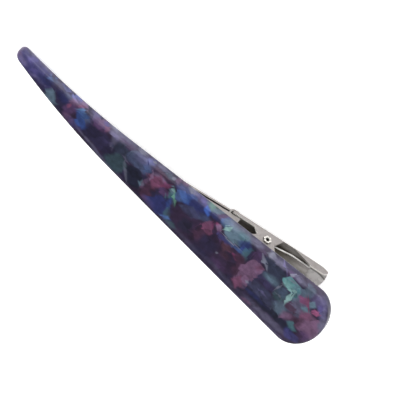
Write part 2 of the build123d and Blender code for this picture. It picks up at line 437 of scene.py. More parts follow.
# One row for each flake, those on top last. The columns are the fields of Flake.
FLAKE_TABLE = """tone x y length width turn cut soft share
INDIGO -84 1.5 14 7 0 CLOUD 0.5 1
HEATHER -89.6 1.5 3 7 0 CLOUD 0.5 0.7
INDIGO -88 3 3.4 3 0 CLOUD 0.5 1
LILAC -87.6 0.1 3.6 2.2 0 CLOUD 0.5 1
SMOKE -86.4 4.9 4 1.4 6 CLOUD 0.5 1
VIOLET -84.6 3.3 6.5 2 40 SHARD 0.3 0.6
INDIGO -81.2 3.4 6.5 3.4 8 BLOCK 0.4 1
VIOLET -82.4 0.7 3.4 2.6 30 SHARD 0.3 0.6
LILAC -80.6 -0.7 5 1.3 12 CLOUD 0.5 0.7
NAVY -78.6 1.5 6.4 3.6 25 BLOCK 0.4 0.6
STEEL_BLUE -77.6 4 4 1.7 52 SHARD 0.3 0.8
SLATE -76 4.8 3.4 1.5 10 CLOUD 0.4 1
SMOKE -81 5.6 9 1 3 CLOUD 0.5 0.7
DUSK -75.4 2.2 2.6 3.4 0 CLOUD 0.4 1
GREY_TEAL -74.4 -2.2 4 6.2 4 SHARD 0.25 0.8
SMOKE -73.6 5.2 3 2 0 CLOUD 0.5 0.8
PERIWINKLE -72 6 3 2 10 SHARD 0.3 0.6
NIGHT -71 2.2 5 4.8 0 BLOCK 0.35 1
NAVY -71.2 2.4 5 4 0 CLOUD 0.4 0.7
SLATE -70 4.6 3.6 2.2 0 CLOUD 0.4 0.8
PERIWINKLE -67.9 6.2 3 2.2 -10 BLOCK 0.4 0.9
AUBERGINE -67.5 1.4 3 7.4 -14 BLOCK 0.4 0.9
MAUVE -67.2 4.7 2.6 5 -38 SHARD 0.3 0.65
ROSE -68.6 1.8 0.9 2.2 0 CLOUD 0.4 0.8
HEATHER -65.4 6.6 2.6 2 -20 SHARD 0.3 0.9
MAUVE -66.6 -2.6 3.4 2.4 0 CLOUD 0.4 0.6
INDIGO -64 -2.4 5.6 2.8 8 CLOUD 0.4 0.6
ROYAL -62.8 1.2 5.4 5.6 38 BLOCK 0.25 0.85
STEEL_BLUE -64 3.4 3.4 3 40 SHARD 0.3 0.7
SKY -65.2 3.5 3.4 0.6 45 SHARD 0.4 0.45
SLATE -61.3 2.6 2 3.4 20 SHARD 0.3 1
MAGENTA -65.5 4.9 0.9 3.4 -42 SHARD 0.3 0.6
NIGHT -55.2 0 12 6 -2 BLOCK 0.25 1
LILAC -60.6 6.6 3.4 4 0 CLOUD 0.4 0.6
AUBERGINE -57.8 4.8 5 4.2 0 BLOCK 0.4 1
MAUVE -57.6 6.4 2.4 3.6 -20 SHARD 0.3 0.5
ROSE -55.4 5.9 1.6 2.8 -10 SHARD 0.3 0.6
VIOLET -56.8 7.4 1.8 1.6 0 CLOUD 0.4 0.8
SMOKE -58.6 -3.3 9 1 -7 CLOUD 0.5 0.7
SMOKE -51 -4.7 11 1.3 -7 CLOUD 0.5 0.6
ASH -53.8 8.3 4.2 2 5 CLOUD 0.5 0.7
SMOKE -51.8 6 4.4 4.8 -20 SHARD 0.35 0.9
LILAC -52.6 5.6 2.6 2.6 -20 SHARD 0.4 0.4
SMOKE -52.4 3.4 1.8 4.6 25 SHARD 0.3 0.7
SMOKE -49.4 8.6 7 2 4 CLOUD 0.5 0.8
DUSK -54.2 2.6 4.6 2.6 0 CLOUD 0.4 1
AUBERGINE -48 6.6 6.6 3 5 CLOUD 0.4 0.4
STORM -48 3.6 7 4.6 0 BLOCK 0.35 1
DEEP_TEAL -47.8 -2.4 6.6 6.6 -22 BLOCK 0.3 1
SMOKE -46.5 1.3 3 0.9 -10 SHARD 0.4 0.7
GREY_TEAL -45.4 6.2 1.5 3 -15 SHARD 0.3 0.6
ASH -43.6 8.8 2.6 2 0 SHARD 0.4 0.7
SLATE -42.2 4.9 7.8 6.4 0 BLOCK 0.35 1
LILAC -41.8 6.2 5.6 3.2 0 CLOUD 0.5 0.35
STEEL_BLUE -39.6 4.4 2.4 3 10 SHARD 0.4 0.3
PERIWINKLE -39.8 8 2.8 3.2 -15 SHARD 0.4 0.45
ASH -39.2 9.1 1 1.1 0 CLOUD 0.4 0.9
NAVY -40.4 6.8 0.5 2.2 30 SHARD 0.4 1
INK -41 -1.8 5.6 7.6 25 BLOCK 0.15 1
ASH -43.7 -2.9 10.4 0.9 -55 SHARD 0.4 0.3
GREY_TEAL -38.3 -1.2 1.4 2.6 20 SHARD 0.3 0.7
SMOKE -36.4 9.4 3.6 1.8 0 CLOUD 0.4 0.9
GREY_TEAL -33.4 8.9 3 2.4 0 SHARD 0.35 0.4
WINE -35 7.2 6 1.7 0 CLOUD 0.4 1
ASH -31.8 9.4 1 1.7 0 CLOUD 0.4 0.8
MAUVE -30.5 9.6 1.6 3.4 0 CLOUD 0.4 0.9
PLUM -30.9 7.4 1.8 3 0 CLOUD 0.4 1
WINE -35.2 -2.6 4.2 7.4 -4 BLOCK 0.4 1
MAUVE -37.4 0 1.2 7 -4 CLOUD 0.4 0.5
HEATHER -34.8 5.3 5 2.2 0 CLOUD 0.4 0.8
ROSE -35.2 3.2 5.4 5 0 SHARD 0.2 0.95
MAGENTA -32.5 4.8 1.6 4 -32 SHARD 0.3 0.7
HEATHER -37.3 3.5 1 3.8 12 SHARD 0.3 0.6
AUBERGINE -31.6 2.2 3.2 2.8 0 BLOCK 0.3 1
NIGHT -32.8 -1 3.4 3.6 0 SHARD 0.3 1
NAVY -30 -3.4 7.6 7 14 SHARD 0.15 1
VIOLET -33.2 -5.4 4.4 2 -10 CLOUD 0.4 0.35
ROYAL -27.6 8.4 5 4 0 CLOUD 0.4 0.45
MAUVE -28.6 11.1 2.6 2 0 CLOUD 0.4 0.8
ASH -25.3 11 3 2.6 0 SHARD 0.35 0.8
VIOLET -22.2 11 5.4 2.8 8 CLOUD 0.4 0.6
ROYAL -24.6 7 5.6 4.6 40 BLOCK 0.25 1
STEEL_BLUE -27 5.4 4.2 4 45 BLOCK 0.3 0.5
GREY_TEAL -30.2 4.8 2 2.6 10 SHARD 0.3 1
TEAL -29.2 3 2.8 3.6 -20 SHARD 0.3 0.8
GREEN -28.5 3.2 5.8 1.1 -60 SHARD 0.3 0.65
MINT -29.9 5 1.4 1 0 CLOUD 0.4 0.6
ROYAL -28.4 0 1.8 5.4 20 SHARD 0.3 0.6
TEAL -26.6 -4.2 1.9 5.4 22 SHARD 0.3 0.7
STEEL_BLUE -26.4 -6 3 2 10 SHARD 0.35 0.8
DEEP_TEAL -24.1 -6.3 3.4 2.2 0 CLOUD 0.4 1
NAVY -20.6 6.4 6.6 6 20 BLOCK 0.25 1
VIOLET -19.6 10.4 3.6 2.4 0 CLOUD 0.4 0.6
BRIGHT_BLUE -18.5 8 2.3 3.4 28 SHARD 0.25 1
SLATE -17.6 5.2 4.4 2.6 0 CLOUD 0.4 0.7
GREEN -18.2 11 5.2 2.4 -58 SHARD 0.35 0.6
GREY_TEAL -16.2 11 3.8 2 50 SHARD 0.3 0.9
AUBERGINE -14.2 10.9 5.4 2 58 SHARD 0.3 0.8
NAVY -16.2 8.8 3.4 2.2 0 CLOUD 0.4 1
SLATE -21.8 3 6.8 4.6 10 SHARD 0.15 0.8
DUSK -21.8 3.2 6 4 12 BLOCK 0.3 0.5
PLUM -16 -2 22 7.4 -2 BLOCK 0.3 1
INK -20.4 -2.5 3.6 5.6 0 BLOCK 0.5 0.7
WINE -15.8 -1.6 3.4 5.4 0 BLOCK 0.5 0.8
NIGHT -11.8 -2.6 5.4 6 0 BLOCK 0.5 0.8
SMOKE -17 -7.2 9 1.7 -5 CLOUD 0.5 0.3
SMOKE -24 -7 6 1.4 -4 CLOUD 0.5 0.2
ROSE -15.1 3.2 3.6 5 -12 BLOCK 0.3 0.75
MAGENTA -13.7 6 3.2 3.2 -35 BLOCK 0.3 0.6
PINK -13.2 6.7 2.2 1.7 -35 SHARD 0.3 0.7
HEATHER -13 6.4 2.4 2.8 0 SHARD 0.3 0.8
PINK -16.4 1 1.2 0.8 30 SHARD 0.4 0.6
PLUM -12.7 3.8 6.4 1.7 -58 SHARD 0.3 1
AUBERGINE -11.3 4 4.6 1 -58 SHARD 0.3 0.9
STEEL_BLUE -12 10.4 3 4.4 -20 BLOCK 0.35 0.6
GREY_TEAL -11.6 10.8 2.6 4.4 -20 SHARD 0.35 0.6
GREY_TEAL -7.6 8.6 6.6 6.4 0 BLOCK 0.15 1
ASH -6.8 12 8.6 2.6 4 CLOUD 0.4 0.5
GREY_TEAL -6.6 11.2 7.4 3 0 CLOUD 0.4 0.7
MINT -10.7 8.5 1.6 3.8 -20 SHARD 0.25 0.85
TEAL -5.8 10.4 4 3 0 CLOUD 0.4 0.7
ROYAL -3.9 7 4 5 0 SHARD 0.35 0.8
NAVY -4 7.6 3 3.4 0 BLOCK 0.4 0.6
STEEL_BLUE -6 4.4 7.4 1.5 -3 BLOCK 0.4 0.5
ASH -7.8 5 7 0.45 -2 SHARD 0.4 0.8
INDIGO -9.4 3.6 4.6 1.7 -6 BLOCK 0.3 1
TEAL -1.9 5.4 2 6 0 BLOCK 0.4 0.5
BROWN -7.4 2.2 4.2 3 -8 SHARD 0.35 0.8
MAGENTA -3.8 1.2 3.2 1.5 -8 SHARD 0.35 0.8
WINE -2.2 2 3.6 3.6 0 CLOUD 0.4 1
PLUM -5.4 -2.6 6 5 0 BLOCK 0.4 1
BROWN -6.4 -1 3 2.6 0 CLOUD 0.5 0.4
WINE -0.8 -2 3.6 5 10 SHARD 0.4 0.9
ASH -8.4 -2.4 0.8 1 0 CLOUD 0.4 0.5
AUBERGINE -5.6 -6 5.4 2.8 0 CLOUD 0.4 0.6
SMOKE -3 -8.2 14 1.8 -7 CLOUD 0.5 0.3
AUBERGINE 1.2 8.4 3 6.6 10 BLOCK 0.3 0.6
SMOKE -1.6 12.4 4 2.6 0 CLOUD 0.4 1
MAUVE 2.5 2.8 5.6 6.4 -12 BLOCK 0.12 1
ROSE 3.6 4.4 2.4 2.6 20 SHARD 0.3 0.5
MAUVE 1.9 -2.4 4.8 8.6 10 BLOCK 0.2 0.9
ROSE 1.5 -5.8 3 4.4 14 SHARD 0.25 0.8
ASH 4 -2.7 1.2 1 0 SHARD 0.4 0.7
ASH 3.8 12 2.6 3.4 10 SHARD 0.25 1
SMOKE 7 12 4.6 3 0 CLOUD 0.4 1
STORM 7 8.4 8.4 4.6 -12 BLOCK 0.2 1
ASH 3.6 8 5.4 1.3 -48 SHARD 0.3 0.65
STORM 8.2 4.9 5.4 2.8 0 BLOCK 0.45 1
GREY_TEAL 8.3 4.4 5 3.2 4 CLOUD 0.5 0.75
DUSK 8 1.8 6.4 3 0 CLOUD 0.4 1
SLATE 9.4 -2.6 10 5 -4 BLOCK 0.4 0.55
LILAC 8.6 -2.6 3 0.9 -15 SHARD 0.4 0.5
DEEP_TEAL 13.2 2.6 4.2 6.4 0 BLOCK 0.3 1
SLATE 13 3.6 3.4 3.4 0 CLOUD 0.5 0.6
ASH 13 1.6 2.6 0.7 -10 SHARD 0.4 0.4
ASH 11.2 4.4 0.6 4 -8 SHARD 0.3 0.5
LILAC 9 12.6 5.4 0.8 -58 SHARD 0.3 0.8
AUBERGINE 11.6 12 3.4 3 0 CLOUD 0.4 0.8
ASH 12.2 11.8 4.4 0.8 62 SHARD 0.3 0.8
SEA 13.9 9 6 4.6 -14 BLOCK 0.12 1
GREY_TEAL 15.8 8.6 3 4.6 0 BLOCK 0.3 0.6
MINT 12.9 7.8 3 2.6 -40 SHARD 0.35 0.3
ASH 13.4 10.6 3.6 0.9 14 SHARD 0.35 0.5
MINT 15.1 7.2 2.4 1 35 SHARD 0.35 0.6
TEAL 17 7 1.9 5.4 0 BLOCK 0.2 1
MINT 15.9 3.4 1.6 5.6 6 SHARD 0.2 0.7
TEAL 17.4 4.4 1 3 0 SHARD 0.3 1
GREY_TEAL 15.8 -2.6 5 6.4 -8 SHARD 0.35 0.6
MAUVE 18.9 -3 3 5 -30 SHARD 0.35 0.8
SMOKE 15 12.4 4.4 2.4 0 CLOUD 0.4 0.9
GREY_TEAL 18.8 11.2 3.4 5.4 0 BLOCK 0.4 0.55
LILAC 22.8 11.2 4.6 4.4 0 CLOUD 0.5 0.6
SMOKE 19.8 4 5.4 9 0 BLOCK 0.35 0.85
WINE 18 1.1 3.4 2.8 0 BLOCK 0.35 0.8
MAGENTA 19.5 7.2 2.8 3 -25 SHARD 0.3 0.7
GREY_TEAL 21.5 4.4 2.8 2.4 10 SHARD 0.3 1
GREY_TEAL 22.2 7.9 2.2 2.4 0 SHARD 0.3 1
LILAC 25.8 8.4 2.6 6 26 CLOUD 0.4 1
VIOLET 24.6 9.4 1.6 3 10 CLOUD 0.4 0.8
ROSE 21.1 6.9 6 0.6 -58 SHARD 0.3 1
PINK 24.2 6.3 2.8 1.6 40 SHARD 0.25 1
MAUVE 25.4 0.4 7.4 8.6 0 BLOCK 0.15 1
WINE 21.9 -2 4 5.6 -25 SHARD 0.3 0.8
ROSE 22.6 2.4 3.4 4.6 -20 SHARD 0.3 0.6
SMOKE 28.2 4.4 2.4 6 14 CLOUD 0.4 1
INK 13.6 -6.4 20 2.6 -4 BLOCK 0.35 0.9
NAVY 8 -5.6 8 1.4 0 CLOUD 0.5 0.5
SMOKE 14.6 -9.2 15 2.6 -5 CLOUD 0.5 0.8
MAUVE 7.4 -9.6 3.4 1.6 0 CLOUD 0.4 0.6
SMOKE 10 -11.2 26 1.2 -4 CLOUD 0.5 0.7
TEAL 21.6 -4.8 3 2.8 0 SHARD 0.3 0.8
NAVY 22.2 -7.4 3 2.4 0 CLOUD 0.4 1
INDIGO 23.6 -8 4.6 3.4 20 BLOCK 0.35 0.8
AUBERGINE 26.4 -4.8 4 4 20 CLOUD 0.4 0.8
"""


@dataclass(frozen=True)
class Acetate:
    """Polished marbled acetate: dark plum and indigo with angular blue, teal and rose flakes."""

    name: str = "marbled_acetate"
    base: Tone = Tone.NIGHT
    second: Tone = Tone.PLUM
    border: Tone = Tone.SMOKE
    border_share: float = 0.2
    lean: float = 1.1
    mean_level: float = 0.9
    facet_change: float = 0.4
    cloud_change: float = 0.9
    edge_softness: float = 1.4
    cell_size: float = 3.0
    cell_push: float = 1.0
    cloud_size: float = 4.0
    cloud_push: float = 2.0
    base_size: float = 9.0
    base_from: float = 0.4
    base_to: float = 0.6
    grain_size: float = 1.6
    gloss_roughness: float = 0.27
    gloss_change: float = 0.05
    gloss_size: float = 6.0
    refraction: float = 1.48
    specular: float = 0.28
    zone_length: float = 10.0
    zone_overlap: float = 3.5
    flakes: tuple[Flake, ...] = tuple(map(Flake.from_row, FLAKE_TABLE.splitlines()[1:]))

    def _mask(self, tree: ShaderTree, flake: Flake, spots: dict[Cut, Wire]) -> Wire:
        """How much of the flake shows at the shaded point.

        Args:
            tree: The material's tree.
            flake: The flake.
            spots: The shaded point, pushed about as each kind of edge needs.

        Returns:
            Its share, from 0 to 1.
        """
        sockets = {
            "Vector": spots[flake.cut],
            "Location": (flake.x, flake.y, 0.0),
            "Rotation": (0.0, 0.0, math.radians(flake.turn)),
            "Scale": (flake.length / 2, flake.width / 2, ENDLESS),
        }
        local = tree.node("ShaderNodeMapping", {"vector_type": "TEXTURE"}, sockets)
        if flake.cut is Cut.CLOUD:
            reach = tree.vector("LENGTH", local, output=1)
        elif flake.cut is Cut.BLOCK:
            reach = tree.vector("LENGTH", tree.vector("MULTIPLY", local, local), output=1)
        else:
            sides = tree.vector("ABSOLUTE", local)
            reach = tree.vector("DOT_PRODUCT", sides, (SHARD_SLANT, SHARD_SLANT, 0.0), output=1)
        soft = flake.soft * self.edge_softness
        return flake.share * reach.ramp(1 + soft, 1 - soft)

    def zones(self, low: float, high: float) -> list[tuple[float, float]]:
        """Stretches of the clip, each with few enough flakes for a material of its own.

        Args:
            low: Where the plate starts along the clip.
            high: Where it ends.

        Returns:
            The start and the end of each stretch.
        """
        count = math.ceil((high - low) / self.zone_length)
        step = (high - low) / count
        return [(low + i * step, low + (i + 1) * step) for i in range(count)]

    def _near(self, low: float, high: float) -> list[Flake]:
        """The flakes that can show on one stretch.

        Args:
            low: Where the stretch starts along the clip.
            high: Where it ends.

        Returns:
            The flakes, in their own order.
        """
        spare = self.zone_overlap
        start, end = low - spare, high + spare
        return [f for f in self.flakes if start < f.x + f.reach and f.x - f.reach < end]

    def _spots(self, tree: ShaderTree, flat: Wire, shades: Wire) -> dict[Cut, Wire]:
        """The shaded point, pushed about as each kind of edge needs.

        Args:
            tree: The material's tree.
            flat: The shaded point on the plate's face.
            shades: The random colour of the cell that it lies in.

        Returns:
            The pushed point for each kind of edge.
        """
        cell = tree.vector("SUBTRACT", shades, CENTRED)
        cloud = tree.vector("SUBTRACT", tree.noise(flat, self.cloud_size, output=1), CENTRED)
        push = (self.cell_push, self.cell_push, 0.0)
        drift = (self.cloud_push, self.cloud_push, 0.0)
        broken = tree.vector("MULTIPLY_ADD", cell, push, flat)
        pushed = tree.vector("MULTIPLY_ADD", cloud, drift, flat)
        return {Cut.SHARD: broken, Cut.BLOCK: broken, Cut.CLOUD: pushed}

    def _lit(self, tree: ShaderTree, flat: Wire, shades: Wire, colour: Wire) -> Wire:
        """The colour with each cell and cloud a little lighter or darker than the next.

        Args:
            tree: The material's tree.
            flat: The shaded point on the plate's face.
            shades: The random colour of the cell that it lies in.
            colour: The colour before.

        Returns:
            The colour after.
        """
        facet = tree.vector("DOT_PRODUCT", shades, (1.0, 0.0, 0.0), output=1)
        level = self.mean_level + self.facet_change * (facet - MIDDLE)
        level = level + self.cloud_change * (tree.noise(flat, self.grain_size) - MIDDLE)
        return tree.node("ShaderNodeVectorMath", {"operation": "SCALE"}, {0: colour, 3: level})

    def material(self, place: ClipPlace, low: float, high: float) -> bpy.types.Material:
        """The finish of one stretch, which meets its neighbours' without a seam.

        Args:
            place: Where the clip's own frame lies. The pattern is fixed to it.
            low: Where the stretch starts along the clip.
            high: Where it ends.

        Returns:
            The finished material.
        """
        tree = ShaderTree(self.name)
        depth = tree.node("ShaderNodeAttribute", {"attribute_name": "depth"}, None, "Fac")
        lean = tree.node("ShaderNodeCombineXYZ", None, {"Y": self.lean * depth})
        spot = tree.vector("ADD", tree.clip_place(place), lean)
        flat = tree.vector("MULTIPLY", spot, (1.0, 1.0, 0.0))
        shades = tree.cells(flat, self.cell_size)
        spots = self._spots(tree, flat, shades)
        share = tree.noise(spots[Cut.CLOUD], self.base_size).ramp(self.base_from, self.base_to)
        colour = tree.mix(share, linear(self.base.value), linear(self.second.value))
        for flake in self._near(low, high):
            mask = self._mask(tree, flake, spots)
            colour = tree.mix(mask, colour, linear(flake.tone.value))
        border = tree.node("ShaderNodeAttribute", {"attribute_name": "border"}, None, "Fac")
        colour = tree.mix(border * self.border_share, colour, linear(self.border.value))
        colour = self._lit(tree, flat, shades, colour)
        gloss = tree.noise(spot, self.gloss_size)
        roughness = self.gloss_roughness + self.gloss_change * gloss
        constants = {"IOR": self.refraction, "Specular IOR Level": self.specular}
        tree.surface(constants, {"Base Color": colour, "Roughness": roughness})
        return tree.material


@dataclass(frozen=True)
class PlatedMetal:
    """Nickel-plated steel with rolling marks, fine scratches and a little tarnish."""

    name: str
    colour: Colour = (0.31, 0.288, 0.28)
    tarnish: Colour = (0.25, 0.225, 0.205)
    metallic: float = 1.0
    roughness: float = 0.34
    line_size: float = 1.2
    line_stretch: float = 0.12
    line_change: float = 0.12
    patch_size: float = 2.4
    patch_from: float = 0.45
    patch_to: float = 0.75
    patch_share: float = 0.45
    stain_size: float = 0.9
    stain_from: float = 0.62
    stain_to: float = 0.74
    stain_share: float = 0.25
    detail: float = 3.0
    worn_change: float = 0.1
    scratch_strength: float = 0.06
    scratch_depth: float = 0.00005

    def _shaded(self, tree: ShaderTree, spot: Wire, colour: Wire) -> Wire:
        """The colour as it is where no painted shade lies on it."""
        return colour

    def material(self, place: ClipPlace) -> bpy.types.Material:
        """The metal's finish, with its marks running along the clip.

        Args:
            place: Where the clip's own frame lies.

        Returns:
            The finished material.
        """
        tree = ShaderTree(self.name)
        spot = tree.clip_place(place)
        along = tree.vector("MULTIPLY", spot, (self.line_stretch, 1.0, 1.0))
        lines = tree.noise(along, self.line_size, self.detail)
        patches = tree.noise(spot, self.patch_size, self.detail)
        patches = patches.ramp(self.patch_from, self.patch_to)
        stains = tree.noise(spot, self.stain_size).ramp(self.stain_from, self.stain_to)
        worn = patches * self.patch_share + stains * self.stain_share
        colour = self._shaded(tree, spot, tree.mix(worn, self.colour, self.tarnish))
        roughness = self.roughness + self.line_change * lines + self.worn_change * worn
        bump = {
            "Strength": self.scratch_strength,
            "Distance": self.scratch_depth,
            "Height": lines,
        }
        normal = tree.node("ShaderNodeBump", None, bump)
        wires = {"Base Color": colour, "Roughness": roughness, "Normal": normal}
        tree.surface({"Metallic": self.metallic}, wires)
        return tree.material


@dataclass(frozen=True)
class PaintedShadeMetal(PlatedMetal):
    """Plated metal of the tail's inside, with painted shade: darker near the pivot, as in the
    plate's shadow, and along one dark streak, a painted reflection of the plate's edge.

    The places are in millimetres of the clip's own frame. The lift is how much the painted shade
    lightens towards the side wall.
    """

    # The colour of the painted shade.
    painted_shade: Colour = (0.09, 0.078, 0.064)
    shade_until: float = 4.0
    bright_from: float = 15.0
    streak_depth: float = 0.0
    streak_at: float = 1.15
    streak_width: float = 0.1
    streak_reach: float = 0.6
    streak_fade: float = 0.6
    lift: float = 0.0
    lift_from: float = 1.7
    lift_to: float = 3.0

    def _shaded(self, tree: ShaderTree, spot: Wire, colour: Wire) -> Wire:
        """The colour, with the painted shade and the painted dark reflection laid on it.

        Args:
            tree: The material's tree.
            spot: The shaded point in the clip's own frame.
            colour: The polished colour.

        Returns:
            The colour with its painted shade.
        """
        along, across = spot.axis("X"), spot.axis("Y")
        # Painted shade: darker towards the pivot, where the plate's shadow falls, and lighter
        # towards the side wall.
        lifted = self.lift * across.ramp(self.lift_from, self.lift_to)
        unshaded = (1.0 - along.ramp(self.shade_until, self.bright_from)) * (1.0 - lifted)
        # Painted reflection: a dark streak along the trough, standing in for the plate's edge
        # mirrored in the metal.
        inner = across.ramp(self.streak_at - self.streak_reach, self.streak_at)
        outer = across.ramp(self.streak_at + self.streak_width, self.streak_at + self.streak_reach)
        streak = self.streak_depth * inner * (1.0 - self.streak_fade * outer)
        return tree.mix(unshaded + (1.0 - unshaded) * streak, colour, self.painted_shade)


@dataclass(frozen=True)
class Paper:
    """The pale floor, lit a little from below as on a light table."""

    name: str = "pale_floor"
    colour: Colour = (0.88, 0.88, 0.88)
    glow: float = 0.55
    grain_size: float = 0.004
    roughness: float = 0.8
    roughness_change: float = 0.1

    def material(self) -> bpy.types.Material:
        """The finish of a matt sheet with a faint grain.

        Returns:
            The finished material.
        """
        tree = ShaderTree(self.name)
        spot = tree.node("ShaderNodeTexCoord", output="Object")
        roughness = self.roughness + self.roughness_change * tree.noise(spot, self.grain_size)
        constants = {
            "Base Color": self.colour,
            "Emission Color": (1.0, 1.0, 1.0),
            "Emission Strength": self.glow,
        }
        tree.surface(constants, {"Roughness": roughness})
        return tree.material


def add_object(name: str, data: bpy.types.ID) -> bpy.types.Object:
    """Adds an object to the scene.

    Args:
        name: The object's name.
        data: Its mesh, lamp or lens.

    Returns:
        The new object.
    """
    made = bpy.data.objects.new(name, data)
    bpy.context.scene.collection.objects.link(made)
    return made


def new_piece(name: str, mesh: bpy.types.Mesh, body: Body | None) -> bpy.types.Object:
    """Adds a piece to the scene.

    Args:
        name: The piece's name.
        mesh: Its mesh, in the model's frame.
        body: The body that it rides on, or None for a piece that rides on none.

    Returns:
        The new object.
    """
    piece = add_object(name, mesh)
    if body is not None:
        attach(piece, body.value)
    return piece


def keep_shape(piece: bpy.types.Object) -> None:
    """Makes what a piece's modifiers give its plain mesh, and removes them.

    Args:
        piece: The piece.
    """
    shape = piece.evaluated_get(bpy.context.evaluated_depsgraph_get())
    piece.data = bpy.data.meshes.new_from_object(shape)
    piece.modifiers.clear()


def bridge(work: bmesh.types.BMesh, rings: list[list[bmesh.types.BMVert]]) -> None:
    """Fills the bands between neighbouring rings with faces.

    Args:
        work: The bmesh that the faces go into.
        rings: The rings, whose vertices follow each other in the same order.
    """
    for upper, lower in zip(rings, rings[1:]):
        for i, (first, second) in enumerate(zip(upper, lower)):
            j = (i + 1) % len(upper)
            work.faces.new((first, upper[j], lower[j], second))


def new_mesh(work: bmesh.types.BMesh, name: str) -> bpy.types.Mesh:
    """Turns a finished bmesh into a mesh.

    Args:
        work: The bmesh, which is freed.
        name: The mesh's name.

    Returns:
        The new mesh.
    """
    mesh = bpy.data.meshes.new(name)
    work.to_mesh(mesh)
    work.free()
    return mesh


def shade(mesh: bpy.types.Mesh, limit: float) -> None:
    """Smooths a mesh, apart from its sharp edges.

    Args:
        mesh: The mesh.
        limit: The turn in degrees from which on an edge is sharp.
    """
    work = bmesh.new()
    work.from_mesh(mesh)
    for face in work.faces:
        face.smooth = True
    for edge in work.edges:
        edge.smooth = len(edge.link_faces) == 2 and edge.calc_face_angle(0) < math.radians(limit)
    work.to_mesh(mesh)
    work.free()


